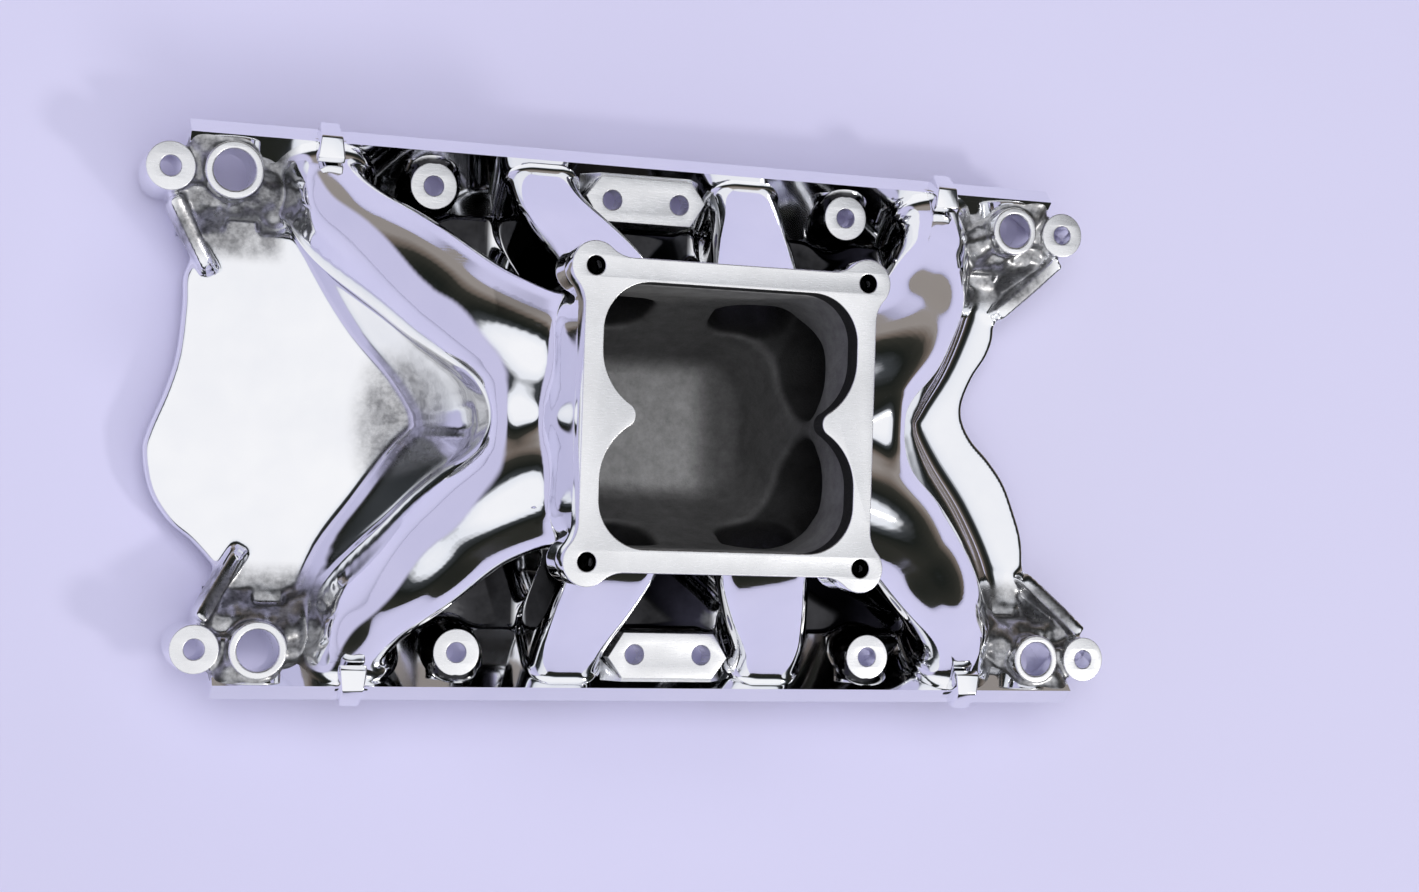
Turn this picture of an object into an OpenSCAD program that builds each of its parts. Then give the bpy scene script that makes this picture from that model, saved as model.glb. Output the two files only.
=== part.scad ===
// Single-plane V8 intake manifold for a square four-barrel carburettor.
// The real manifold is one aluminium casting. Its named regions are separate solids here,
// and they meet face to face.
// +Z is up. The origin is midway between the two bolt rows, on the plane the port flanges
// stand on. Each bank is drawn once as the +Y bank and mirrored for the -Y bank.

/* [Bolt rows] */
// distance along X between the two banks
bank_offset = 20; // [14:0.5:26]
// distance of each bolt row from the centre line
bolt_row_y = 118.5; // [112:0.5:124]
// end bolt from the middle of its bank
end_bolt_x = 246; // [236:0.5:256]
// coolant bore from the middle of its bank
coolant_x = 215.2; // [210:0.2:220]
// intermediate bolt from the middle of its bank
mid_bolt_x = 114; // [108:0.5:120]
// half the spacing of the two bolts on the centre pad
pad_bolt_x = 18.5; // [14:0.5:22]
// clearance hole of every flange bolt
bolt_hole_d = 10.3; // [8:0.1:12]

/* [Bosses] */
// height of the machined bolt faces
boss_top_z = 44; // [40:0.5:52]
// height of the machined coolant faces
coolant_top_z = 47; // [42:0.5:54]
// end bolt boss diameter
end_boss_d = 24.4; // [20:0.2:28]
// intermediate bolt boss diameter
mid_boss_d = 24; // [20:0.2:28]
// coolant boss diameter at the -X end
front_coolant_d = 29; // [26:0.2:32]
// coolant bore diameter at the -X end
front_coolant_bore = 20.8; // [16:0.2:23]
// coolant boss diameter at the +X end
rear_coolant_d = 26.4; // [24:0.2:30]
// coolant bore diameter at the +X end
rear_coolant_bore = 18.6; // [14:0.2:21]

/* [Port flanges] */
// distance of the port face from the centre line at the base
face_y = 103; // [96:0.5:110]
// height of the outer edge of the port face
face_top_z = 40; // [34:0.5:46]
// thickness of the port flange
flange_t = 10; // [7:0.5:14]
// half length of the port flange
flange_half = 237; // [230:1:245]
// spacing of neighbouring ports, the bore spacing of the engine
port_pitch = 111.8; // [106:0.1:118]
// height of the port centre
port_z = 20; // [16:0.5:24]

/* [Runners] */
// width of the runner passage
port_w = 31; // [26:0.5:36]
// height of the runner passage
port_h = 39; // [34:0.5:44]
// corner radius of the runner passage
port_r = 13.5; // [8:0.5:15]
// thickness of the runner wall
runner_wall = 4.5; // [3.5:0.25:5.5]
// length of the first bend, from the flange to the corner of the path
first_lead = 20; // [16:1:26]
// length of the second bend of an end runner
second_lead = 22; // [16:1:26]

/* [Carburettor flange] */
// middle of the carburettor along X
carb_x = -11; // [-20:0.5:0]
// height of the carburettor face
carb_z = 184; // [176:1:192]
// thickness of the carburettor flange
carb_flange_t = 12; // [9:0.5:16]
// side of the square stud pattern
stud_square = 136.65; // [136:0.05:137.2]
// hole for a carburettor stud
stud_hole_d = 8.9; // [7.9:0.1:10]
// half side of the flange
carb_half = 73; // [71:0.5:76]
// radius of the ear around each stud
ear_r = 11.6; // [10:0.2:13]
// half length of the opening along X
opening_x = 63.5; // [58:0.5:64.5]
// half width of the opening along Y
opening_y = 62; // [56:0.5:64]
// corner radius of the opening
opening_r = 23; // [16:1:28]

/* [Plenum] */
// half width of the plenum along Y
plenum_y = 68; // [66:0.5:72]
// outside corner radius of the plenum
plenum_r = 30; // [20:1:34]
// thickness of the plenum wall
plenum_wall_t = 6.5; // [5:0.5:9]
// underside of the plenum floor
plenum_low_z = 40; // [36:1:46]
// thickness of the plenum floor
plenum_floor_t = 6; // [5:0.5:9]

/* [Valley plate] */
// underside of the valley plate
valley_low_z = 10; // [6:0.5:14]
// top of the valley plate
valley_top_z = 18; // [14:0.5:24]

/* [Hidden] */
$fn = 64;
half_offset = bank_offset / 2;
stud = stud_square / 2;
slope = [0, -sqrt(0.5), sqrt(0.5)];
inner_y = face_y - flange_t * sqrt(2);
outer_w = port_w + 2 * runner_wall;
outer_h = port_h + 2 * runner_wall;
outer_r = port_r + runner_wall;
port_y = face_y + port_z;
far = 400;
cusp_x = 46.7;
cusp_r = 6;
cusp_flank_r = 30;
bite = 0.08;
floor_top_z = plenum_low_z + plenum_floor_t;
carb_low_z = carb_z - carb_flange_t;
stud_post_z = 148;
end_runner_z = 109;
inner_runner_z = 92;
inner_aim = [-44, 35.5];
wall_t = 5;
corner_flats = 4;
lap = 2;
strut_w = 8;
front_foot = [-223, 72];
front_head = [-243, 104];
rear_foot = [219, 74];
rear_head = [247, 104];
// foot of each skirt from the port flange towards the centre line, for the four corners
skirt_feet = [
    [[-187, 106], [-177, 79], [-157, 47], [-130, 19]], [[190, 103], [189, 78], [178, 46], [160, 19]],
    [[-184, 106], [-171, 71], [-152, 44], [-133, 18]], [[206, 104], [203, 72], [188, 42], [166, 13]]];
// where the two skirts of each end meet
front_meet = [-121, -3];
rear_meet = [155, 8];
lug_x = 169;

// ---------- helpers ----------

function unit(v) = v / norm(v);

// rotation that lays the X, Y and Z axes along the unit vectors x, y and z
function frame_angles(x, y, z) = [atan2(y[2], z[2]), -asin(x[2]), atan2(x[1], x[0])];

// vector v turned about the unit axis n by angle a
function turned(v, n, a) = v * cos(a) + cross(n, v) * sin(a) + n * (n * v) * (1 - cos(a));

// smooth line through all but the first and last of points p
function blend(a, b, c, d, t) =
    0.5 * (2 * b + (c - a) * t + (2 * a - 5 * b + 4 * c - d) * t * t
    + (3 * b - a - 3 * c + d) * t * t * t);
function smooth_line(p, steps) = [
    for (i = [1:len(p) - 3], k = [0:steps - 1])
        blend(p[i - 1], p[i], p[i + 1], p[i + 2], k / steps)
];

module rounded_rect(w, h, r) {
    square([w - 2 * r, h], center = true);
    square([w, h - 2 * r], center = true);
    for (sx = [-1, 1], sy = [-1, 1])
        translate([sx * (w / 2 - r), sy * (h / 2 - r)])
            circle(r);
}

// section of a duct, its corners drawn as short flats
module duct_section(w, h, r)
    polygon([for (q = [0:3], k = [0:corner_flats])
        let (a = 90 * q + 90 * k / corner_flats,
            sx = q == 0 || q == 3 ? 1 : -1, sy = q < 2 ? 1 : -1)
        [sx * (w / 2 - r) + r * cos(a), sy * (h / 2 - r) + r * sin(a)]]);

// side is 1 for the +Y bank and -1 for the -Y bank
module bank(side) {
    if (side > 0)
        translate([-half_offset, 0, 0])
            children();
    else
        translate([half_offset, 0, 0])
            mirror([0, 1, 0])
                children();
}

// prism along X from a profile in the Y-Z plane
module along_x(x0, x1)
    translate([x0, 0, 0])
        rotate([90, 0, 90])
            linear_extrude(x1 - x0)
                children();

// straight length of a duct: start p, direction d, width axis w, lapped into its neighbours
module straight_duct(p, d, w, length, size)
    translate(p - lap * d)
        rotate(frame_angles(w, cross(d, w), d))
            linear_extrude(length + 2 * lap)
                duct_section(size[0], size[1], size[2]);

// bend of a duct about the corner of its path
module bend_duct(corner, d, e, w, lead, size) {
    n = unit(cross(d, e));
    m = cross(n, d);
    turn = acos(d * e);
    radius = lead / tan(turn / 2);
    translate(corner - lead * d + radius * m)
        rotate(frame_angles(-m, d, n))
            rotate_extrude(angle = turn)
                translate([radius, 0])
                    rotate(atan2(w * n, -(w * m)))
                        duct_section(size[0], size[1], size[2]);
}

// duct from the inner face of the flange through one or two corners to its last point
module duct(path, leads, beyond, size) {
    d0 = slope;
    w0 = [1, 0, 0];
    d1 = unit(path[2] - path[1]);
    n1 = unit(cross(d0, d1));
    w1 = turned(w0, n1, acos(d0 * d1));
    bend_duct(path[1], d0, d1, w0, leads[0], size);
    if (len(path) == 3) {
        straight_duct(path[1] + leads[0] * d1, d1, w1,
            norm(path[2] - path[1]) - leads[0] + beyond, size);
    } else {
        d2 = unit(path[3] - path[2]);
        n2 = unit(cross(d1, d2));
        w2 = turned(w1, n2, acos(d1 * d2));
        straight_duct(path[1] + leads[0] * d1, d1, w1,
            norm(path[2] - path[1]) - leads[0] - leads[1], size);
        bend_duct(path[2], d1, d2, w1, leads[1], size);
        straight_duct(path[2] + leads[1] * d2, d2, w2,
            norm(path[3] - path[2]) - leads[1] + beyond, size);
    }
}

// ---------- shared shapes ----------

passage = [port_w, port_h, port_r];
tube = [outer_w, outer_h, outer_r];

// path of runner i (0 to 3 from -X to +X) in the coordinates of its own bank
function port_point(i) = [(i - 1.5) * port_pitch, port_y, port_z];
function in_bank(x, side) = x + side * half_offset;
function runner_path(i, side) =
    let (p = port_point(i), q = p + (flange_t + first_lead) * slope)
    i == 0 ? [p, q, [in_bank(-106, side), 43, end_runner_z - 8], [in_bank(-56, side), 26.5, end_runner_z + 3]] :
    i == 3 ? [p, q, [in_bank(109, side), 44, end_runner_z - 8], [in_bank(34, side), 26.5, end_runner_z + 3]] :
    i == 1 ? [p, q, [in_bank(inner_aim[0], side) - 3 * side, 62, inner_runner_z]] :
        [p, q, [in_bank(inner_aim[1], side) - 4 * side, 62, inner_runner_z]];

module runner_duct(i, side, size)
    duct(runner_path(i, side), [first_lead, second_lead], i == 0 || i == 3 ? 0 : 30, size);

// everything on the engine side of the port flange's inner face
module behind_flange()
    along_x(-far, far)
        polygon([[inner_y - far, -far], [inner_y + far, far], [2 * far, far], [2 * far, -far]]);

module outside_face()
    along_x(-far, far)
        polygon([[face_y - far, -far], [face_y + far, far], [2 * far, far], [2 * far, -far]]);

module plenum_block(inset, z0, z1)
    translate([carb_x, 0, z0])
        linear_extrude(z1 - z0)
            rounded_rect(2 * (carb_half - inset), 2 * (plenum_y - inset), plenum_r - inset);

// both coolant bosses of a bank, the size depends on the end
function coolant_d(end) = end < 0 ? front_coolant_d : rear_coolant_d;
function coolant_bore(end) = end < 0 ? front_coolant_bore : rear_coolant_bore;

module column(x, d, top)
    translate([x, bolt_row_y, 0])
        cylinder(h = top, d = d);

module bore(x, d)
    translate([x, bolt_row_y, -1])
        cylinder(h = carb_z, d = d);

module bank_tubes(side)
    for (i = [0:3])
        runner_duct(i, side, tube);

// ---------- carburettor flange and plenum ----------

// round-off between an ear and the flange's side; it cuts a hair into both so that they join cleanly
module ear_fillet() {
    fillet_r = 16;
    reach = ear_r + fillet_r - bite;
    fy = carb_half + fillet_r - bite;
    fx = stud - sqrt(pow(reach, 2) - pow(fy - stud, 2));
    touch = [stud, stud] + (ear_r - 1) * unit([fx - stud, fy - stud]);
    difference() {
        polygon([[fx, carb_half - 2], [stud, carb_half - 2], [stud, stud], touch, [fx, carb_half + 4]]);
        translate([fx, fy])
            circle(fillet_r);
    }
}

module carb_outline() {
    square(2 * carb_half - 8, center = true);
    rounded_rect(2 * carb_half, 2 * carb_half, 8);
    for (sx = [0, 1], sy = [0, 1])
        mirror([sx, 0])
            mirror([0, sy]) {
                translate([stud, stud])
                    circle(ear_r);
                ear_fillet();
                mirror([1, -1])
                    ear_fillet();
            }
}

module carb_opening() {
    difference() {
        rounded_rect(2 * opening_x, 2 * opening_y, opening_r);
        for (sx = [0, 1])
            mirror([sx, 0])
                opening_cusp();
    }
}

// rounded point reaching into the opening between the front and rear barrels
module opening_cusp() {
    centre = cusp_x + cusp_r;
    flank_x = opening_x - cusp_flank_r + bite;
    flank_y = sqrt(pow(cusp_r + cusp_flank_r - bite, 2) - pow(flank_x - centre, 2));
    touch = [centre, 0] + (cusp_r - 0.5) * unit([flank_x - centre, flank_y]);
    translate([centre, 0])
        circle(cusp_r);
    difference() {
        polygon([[centre, 0], touch, [opening_x - 1, flank_y], [opening_x + 1, flank_y],
            [opening_x + 1, -flank_y], [opening_x - 1, -flank_y], [touch[0], -touch[1]]]);
        for (sy = [-1, 1])
            translate([flank_x, sy * flank_y])
                circle(cusp_flank_r);
    }
}

module carb_flange()
    color("gainsboro")
        translate([carb_x, 0, carb_low_z])
            difference() {
                linear_extrude(carb_flange_t)
                    difference() {
                        carb_outline();
                        carb_opening();
                    }
                for (sx = [-1, 1], sy = [-1, 1])
                    translate([sx * stud, sy * stud, -1])
                        cylinder(h = carb_flange_t + 2, d = stud_hole_d);
            }

module stud_post(sx, sy)
    color("silver")
        difference() {
            translate([carb_x + sx * stud, sy * stud, stud_post_z])
                cylinder(h = carb_low_z - stud_post_z, r = ear_r - 0.6);
            plenum_block(0, plenum_low_z, carb_z);
            translate([carb_x + sx * stud, sy * stud, stud_post_z + 6])
                cylinder(h = carb_z, d = stud_hole_d);
        }

module plenum_wall()
    color("silver")
        difference() {
            plenum_block(0, plenum_low_z, carb_low_z);
            plenum_block(plenum_wall_t, plenum_low_z - 1, carb_z);
            for (side = [-1, 1])
                bank(side)
                    for (i = [0:3])
                        runner_duct(i, side, passage);
        }

module plenum_floor()
    color("dimgray")
        plenum_block(plenum_wall_t, plenum_low_z, floor_top_z);

// ---------- runners ----------

module runner(i, side)
    color("silver")
        difference() {
            bank(side)
                difference() {
                    runner_duct(i, side, tube);
                    runner_duct(i, side, passage);
                }
            plenum_block(0, plenum_low_z, carb_z);
        }

// ---------- port flanges ----------

module flange_profile()
    polygon([[face_y, 0], [face_y + face_top_z, face_top_z],
        [face_y + face_top_z - flange_t * sqrt(0.5), face_top_z + flange_t * sqrt(0.5)],
        [inner_y, 0]]);

module port_flange(side)
    color("silver")
        bank(side)
            difference() {
                along_x(-flange_half, flange_half)
                    flange_profile();
                for (i = [0:3])
                    straight_duct(port_point(i) - 5 * slope, slope, [1, 0, 0], flange_t + 10, passage);
                for (end = [-1, 1]) {
                    bore(end * end_bolt_x, bolt_hole_d);
                    bore(end * mid_bolt_x, bolt_hole_d);
                    bore(end * pad_bolt_x, bolt_hole_d);
                    bore(end * coolant_x, coolant_bore(end));
                }
            }

module boss(side, x, d, hole, top)
    color("silver")
        bank(side)
            difference() {
                column(x, d, top);
                behind_part();
                bore(x, hole);
            }

// what a boss stands on: the flange, or the port face beyond the flange's end
module behind_part() {
    outside_face();
    along_x(-flange_half, flange_half)
        polygon([[face_y + 8, -1], [face_y + face_top_z + 8, face_top_z - 4],
            [face_y + face_top_z, face_top_z],
            [face_y + face_top_z - flange_t * sqrt(0.5), face_top_z + flange_t * sqrt(0.5)],
            [inner_y - 1, -1]]);
}

module centre_pad(side)
    color("gainsboro")
        bank(side)
            difference() {
                linear_extrude(boss_top_z)
                    polygon([[-33, 120], [-25, 131], [25, 131], [33, 120], [25, 107], [-25, 107]]);
                behind_part();
                for (end = [-1, 1])
                    bore(end * pad_bolt_x, bolt_hole_d);
                bank_tubes(side);
            }

// raised lug on the flange's top edge, resting on the end runner where it leaves the flange
module flange_lug(side, end)
    color("silver")
        bank(side)
            difference() {
                along_x(end * lug_x - 5.5, end * lug_x + 5.5)
                    polygon([[133, 44.1], [124, 53.1], [127, 55], [134.5, 54], [146, 43], [143, 40]]);
                behind_part();
            }

module boss_web(side, end)
    color("silver")
        bank(side)
            difference() {
                along_x(min(end * 222, end * 240), max(end * 222, end * 240))
                    polygon([[112.5, 10], [112.5, boss_top_z], [124.5, boss_top_z], [124.5, 10]]);
                behind_part();
                column(end * coolant_x, coolant_d(end), carb_z);
                column(end * end_bolt_x, end_boss_d, carb_z);
            }

// ---------- valley plate and corners ----------

front_edge = [[-230, 90], [-243, 71], [-244, 53], [-246, 29], [-251, 10], [-259, -11], [-261, -22],
    [-257, -41], [-247, -56], [-236, -65], [-224, -78], [-214, -92]];
rear_edge = [[222, -96], [229, -82], [231, -67], [230, -52], [225, -37], [218, -21], [208, -8],
    [197, 3], [191, 14], [191, 24], [197, 38], [205, 50], [209, 62], [207, 71], [198, 84]];

module valley_outline()
    polygon(concat([[-192, 130], [-232, 92]], smooth_line(front_edge, 5),
        [[-224, -78], [-216, -92], [-184, -130], [194, -130], [232, -92]],
        smooth_line(rear_edge, 5), [[207, 71], [213, 84], [184, 130]]));

module valley_plate()
    color("silver")
        difference() {
            translate([0, 0, valley_low_z])
                linear_extrude(valley_top_z - valley_low_z)
                    valley_outline();
            for (side = [-1, 1])
                bank(side) {
                    behind_flange();
                    for (i = [0:3])
                        straight_duct(port_point(i), slope, [1, 0, 0], 60, tube);
                }
        }

module corner_strut(side, end)
    color("silver")
        difference() {
            strut_bar(side, end);
            along_x(-far, far)
                polygon([[-far, valley_low_z], [-far, valley_top_z],
                    [far, valley_top_z], [far, valley_low_z]]);
            bank(side) {
                column(end * end_bolt_x, end_boss_d, carb_z);
                behind_part();
            }
        }

// bar from the corner of the valley plate up to the end bolt boss
module strut_bar(side, end) {
    foot = end < 0 ? front_foot : rear_foot;
    head = end < 0 ? front_head : rear_head;
    reach = norm(head - foot);
    bank(side)
        translate([foot[0], foot[1], 0])
            rotate(atan2(head[1] - foot[1], head[0] - foot[0]))
                translate([0, strut_w / 2, 0])
                    rotate([90, 0, 0])
                        linear_extrude(strut_w)
                            polygon([[-5, valley_top_z - 1], [0, 25], [reach, 41],
                                [reach, 24], [reach * 0.6, valley_top_z - 1]]);
}

// ramp from the valley plate up to the coolant boss, between the strut and the end runner
module corner_gusset(side, end) {
    foot = end < 0 ? front_foot : rear_foot;
    head = end < 0 ? front_head : rear_head;
    inner = skirt_foot(side, end);
    color("silver")
        difference() {
            bank(side)
                intersection() {
                    along_x(-far, far)
                        polygon([[82, valley_top_z], [105, 34], [inner_y + 34, 34],
                            [inner_y + valley_top_z, valley_top_z]]);
                    linear_extrude(carb_z)
                        polygon([foot, head, [end * end_bolt_x, 130], [inner[0][0], 130], inner[0], inner[1]]);
                }
            strut_bar(side, end);
            bank(side) {
                column(end * end_bolt_x, end_boss_d, carb_z);
                column(end * coolant_x, coolant_d(end), carb_z);
                behind_part();
                bank_tubes(side);
            }
            boss_web(side, end);
            skirt_body(side, end);
        }
}

// ---------- runner skirts ----------

module skirt_wall(a, b, c, d)
    hull()
        for (p = [a, b, c, d])
            translate(p)
                sphere(d = wall_t, $fn = 16);

function skirt_foot(side, end) =
    [for (p = skirt_feet[(end < 0 ? 0 : 1) + (side > 0 ? 0 : 2)]) [in_bank(p[0], side), p[1]]];

// wall from the outer side of an end runner down to the valley plate, as far as the other skirt
module skirt_body(side, end) {
    path = runner_path(end < 0 ? 0 : 3, side);
    across = unit([path[2][1] - path[1][1], path[1][0] - path[2][0], 0]) * -8 * end;
    low = valley_top_z - 1;
    foot = [for (p = skirt_foot(side, end)) [p[0], p[1], low]];
    top = [for (t = [0.02, 0.36, 0.7, 1]) path[1] + (path[2] - path[1]) * t + across];
    meet = end < 0 ? front_meet : rear_meet;
    apex = in_bank(meet[0], side);
    meet_y = side * meet[1];
    lean = end < 0 ? 8 : 20;
    bank(side)
        intersection() {
            union() {
                for (i = [0:2])
                    skirt_wall(foot[i], foot[i + 1], top[i], top[i + 1]);
                skirt_wall(foot[3], [apex, meet_y - 3, low], top[3] - [0, 0, 34],
                    [apex - end * lean, meet_y - 3, 72]);
                skirt_wall(top[3] - [0, 0, 34], [apex - end * lean, meet_y - 3, 72], top[3],
                    [apex - end * (lean + 20), meet_y - 3, 108]);
            }
            translate([-far, meet_y, valley_top_z])
                cube([2 * far, far, far]);
        }
}

module skirt(side, end)
    color("silver")
        difference() {
            skirt_body(side, end);
            bank(side) {
                bank_tubes(side);
                behind_part();
            }
            saddle_body(end);
        }

// filler between the crowns of the two end runners, where they join the plenum
module saddle_body(end)
    translate([end < 0 ? -97 : carb_x + carb_half - 1, -25, 88])
        cube([end < 0 ? 14 : 38, 50, 26]);

module saddle(end)
    color("silver")
        difference() {
            saddle_body(end);
            plenum_block(0, plenum_low_z, carb_z);
            for (side = [-1, 1])
                bank(side)
                    runner_duct(end < 0 ? 0 : 3, side, tube);
        }

carb_flange();
stud_post(-1, 1);  // stud_post_1
stud_post(1, 1);  // stud_post_2
stud_post(-1, -1);  // stud_post_3
stud_post(1, -1);  // stud_post_4
plenum_wall();
plenum_floor();
runner(0, 1);  // runner_1
runner(1, 1);  // runner_2
runner(2, 1);  // runner_3
runner(3, 1);  // runner_4
runner(0, -1);  // runner_5
runner(1, -1);  // runner_6
runner(2, -1);  // runner_7
runner(3, -1);  // runner_8
port_flange(1);  // port_flange_left
port_flange(-1);  // port_flange_right
valley_plate();
skirt(1, -1);  // skirt_1
skirt(1, 1);  // skirt_2
skirt(-1, -1);  // skirt_3
skirt(-1, 1);  // skirt_4
saddle(-1);  // front_saddle
saddle(1);  // rear_saddle
boss(1, -end_bolt_x, end_boss_d, bolt_hole_d, boss_top_z);  // end_boss_1
boss(1, end_bolt_x, end_boss_d, bolt_hole_d, boss_top_z);  // end_boss_2
boss(-1, -end_bolt_x, end_boss_d, bolt_hole_d, boss_top_z);  // end_boss_3
boss(-1, end_bolt_x, end_boss_d, bolt_hole_d, boss_top_z);  // end_boss_4
boss(1, -coolant_x, front_coolant_d, front_coolant_bore, coolant_top_z);  // coolant_boss_1
boss(1, coolant_x, rear_coolant_d, rear_coolant_bore, coolant_top_z);  // coolant_boss_2
boss(-1, -coolant_x, front_coolant_d, front_coolant_bore, coolant_top_z);  // coolant_boss_3
boss(-1, coolant_x, rear_coolant_d, rear_coolant_bore, coolant_top_z);  // coolant_boss_4
boss(1, -mid_bolt_x, mid_boss_d, bolt_hole_d, boss_top_z);  // mid_boss_1
boss(1, mid_bolt_x, mid_boss_d, bolt_hole_d, boss_top_z);  // mid_boss_2
boss(-1, -mid_bolt_x, mid_boss_d, bolt_hole_d, boss_top_z);  // mid_boss_3
boss(-1, mid_bolt_x, mid_boss_d, bolt_hole_d, boss_top_z);  // mid_boss_4
centre_pad(1);  // centre_pad_left
centre_pad(-1);  // centre_pad_right
flange_lug(1, -1);  // flange_lug_1
flange_lug(1, 1);  // flange_lug_2
flange_lug(-1, -1);  // flange_lug_3
flange_lug(-1, 1);  // flange_lug_4
corner_strut(1, -1);  // corner_strut_1
corner_strut(1, 1);  // corner_strut_2
corner_strut(-1, -1);  // corner_strut_3
corner_strut(-1, 1);  // corner_strut_4
corner_gusset(1, -1);  // corner_gusset_1
corner_gusset(1, 1);  // corner_gusset_2
corner_gusset(-1, -1);  // corner_gusset_3
corner_gusset(-1, 1);  // corner_gusset_4
boss_web(1, -1);  // boss_web_1
boss_web(1, 1);  // boss_web_2
boss_web(-1, -1);  // boss_web_3
boss_web(-1, 1);  // boss_web_4
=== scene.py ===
"""Looks of the intake manifold: one polished aluminium casting, with its machined faces."""

import math

import bmesh
import bpy
import numpy as np
from mathutils import Matrix, Vector


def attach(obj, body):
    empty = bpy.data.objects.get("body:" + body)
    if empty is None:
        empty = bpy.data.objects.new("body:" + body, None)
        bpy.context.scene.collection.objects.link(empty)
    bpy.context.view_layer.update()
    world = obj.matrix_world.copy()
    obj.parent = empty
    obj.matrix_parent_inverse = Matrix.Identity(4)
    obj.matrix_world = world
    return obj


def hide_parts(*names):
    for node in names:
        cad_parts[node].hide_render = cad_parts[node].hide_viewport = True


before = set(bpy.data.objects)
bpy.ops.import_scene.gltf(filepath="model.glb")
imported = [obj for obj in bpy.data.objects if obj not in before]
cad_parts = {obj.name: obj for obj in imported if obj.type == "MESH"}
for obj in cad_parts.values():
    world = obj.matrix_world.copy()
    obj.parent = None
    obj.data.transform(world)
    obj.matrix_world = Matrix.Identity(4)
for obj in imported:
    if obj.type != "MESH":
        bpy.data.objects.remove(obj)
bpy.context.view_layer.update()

# ---------------------------------------------------------------- sizes, in millimetres
STEP = 1.5
HALF_OFFSET = 10.0
CARB_X = -11.0
CARB_Z = 184.0
CARB_LOW = 172.0
STUD = 68.325
FACE_Y = 103.0
FLANGE_T = 10.0
INNER_Y = FACE_Y - FLANGE_T * math.sqrt(2)
PORT_PITCH = 111.8
PORT_POINT = (123.0, 20.0)
PLATE_LOW, PLATE_TOP = 10.0, 18.0
BOLT_Y = 118.5
END_X, COOLANT_X, MID_X, PAD_X = 246.0, 215.2, 114.0, 18.5
BOSS_TOP, COOLANT_TOP = 44.0, 47.0
END_D, MID_D, BOLT_D, STUD_HOLE_D = 24.4, 24.0, 10.3, 8.9
LUG_X = 169.0
WALL_IN_X, WALL_IN_Y, PLENUM_FLOOR = 66.5, 61.5, 46.0
ROOT_HALF = math.sqrt(0.5)

# ---------------------------------------------------------------- the field the casting is cut from
LOW = np.array([-274.0, -152.0, -4.0])
SIZE = np.array([548.0, 304.0, 182.0])
COUNT = np.ceil(SIZE / STEP).astype(int) + 1
AXES = [(LOW[i] + STEP * np.arange(COUNT[i])).astype(np.float32) for i in range(3)]
FAR = np.float32(30.0)


def smooth_min(a, b, k):
    """The nearer of two distances, with a fillet about k / 2 wide where they meet."""
    h = np.maximum(k - np.abs(a - b), 0) / k
    return np.minimum(a, b) - h * h * h * (k / 6)


def smooth_max(a, b, k):
    """The farther of two distances, rounded in the same way."""
    return -smooth_min(-a, -b, k)


class Part:
    """A box of the grid, with the distances of one shape in it."""

    def __init__(self, low, high):
        self.cut = []
        for i in range(3):
            first = max(0, int((low[i] - LOW[i]) // STEP))
            last = min(COUNT[i], int((high[i] - LOW[i]) // STEP) + 2)
            self.cut.append(slice(first, last))
        self.cut = tuple(self.cut)
        x, y, z = (AXES[i][self.cut[i]] for i in range(3))
        self.x, self.y, self.z = x[:, None, None], y[None, :, None], z[None, None, :]

    def bank(self, side):
        """This box's X and Y in the coordinates of one bank."""
        return self.x + side * HALF_OFFSET, self.y * side


def add(field, part, distance, k):
    """Joins a shape to the field with a fillet."""
    field[part.cut] = smooth_min(field[part.cut], distance, k)


def take(field, part, distance, k):
    """Cuts a shape out of the field."""
    field[part.cut] = smooth_max(field[part.cut], -distance, k)


def rounded_box_2d(x, y, half_x, half_y, radius):
    qx, qy = np.abs(x) - half_x + radius, np.abs(y) - half_y + radius
    return (np.sqrt(np.maximum(qx, 0) ** 2 + np.maximum(qy, 0) ** 2)
            + np.minimum(np.maximum(qx, qy), 0) - radius)


def slab(flat, z, low, high, radius):
    """A flat shape's distance made into a plate from low to high, with rounded edges."""
    qz = np.abs(z - (low + high) / 2) - (high - low) / 2 + radius
    qd = flat + radius
    return (np.sqrt(np.maximum(qz, 0) ** 2 + np.maximum(qd, 0) ** 2)
            + np.minimum(np.maximum(qz, qd), 0) - radius)


def convex(u, v, points, radius):
    """Distance to a convex outline given clockwise in (u, v), its corners rounded."""
    worst = None
    for i, a in enumerate(points):
        b = points[(i + 1) % len(points)]
        du, dv = b[0] - a[0], b[1] - a[1]
        length = math.hypot(du, dv)
        d = ((u - a[0]) * -dv + (v - a[1]) * du) / length
        worst = d if worst is None else smooth_max(worst, d, radius)
    return worst


def outline_distance(x, y, points):
    """Signed distance in the plane to a closed outline of any shape."""
    best, inside = None, None
    for i, a in enumerate(points):
        b = points[(i + 1) % len(points)]
        ex, ey = b[0] - a[0], b[1] - a[1]
        wx, wy = x - a[0], y - a[1]
        t = np.clip((wx * ex + wy * ey) / (ex * ex + ey * ey), 0, 1)
        d = (wx - ex * t) ** 2 + (wy - ey * t) ** 2
        best = d if best is None else np.minimum(best, d)
        crosses = ((a[1] <= y) != (b[1] <= y)) & (x < a[0] + ex * (y - a[1]) / (ey or 1e-9))
        inside = crosses if inside is None else inside ^ crosses
    return np.where(inside, -1, 1) * np.sqrt(best)


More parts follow.
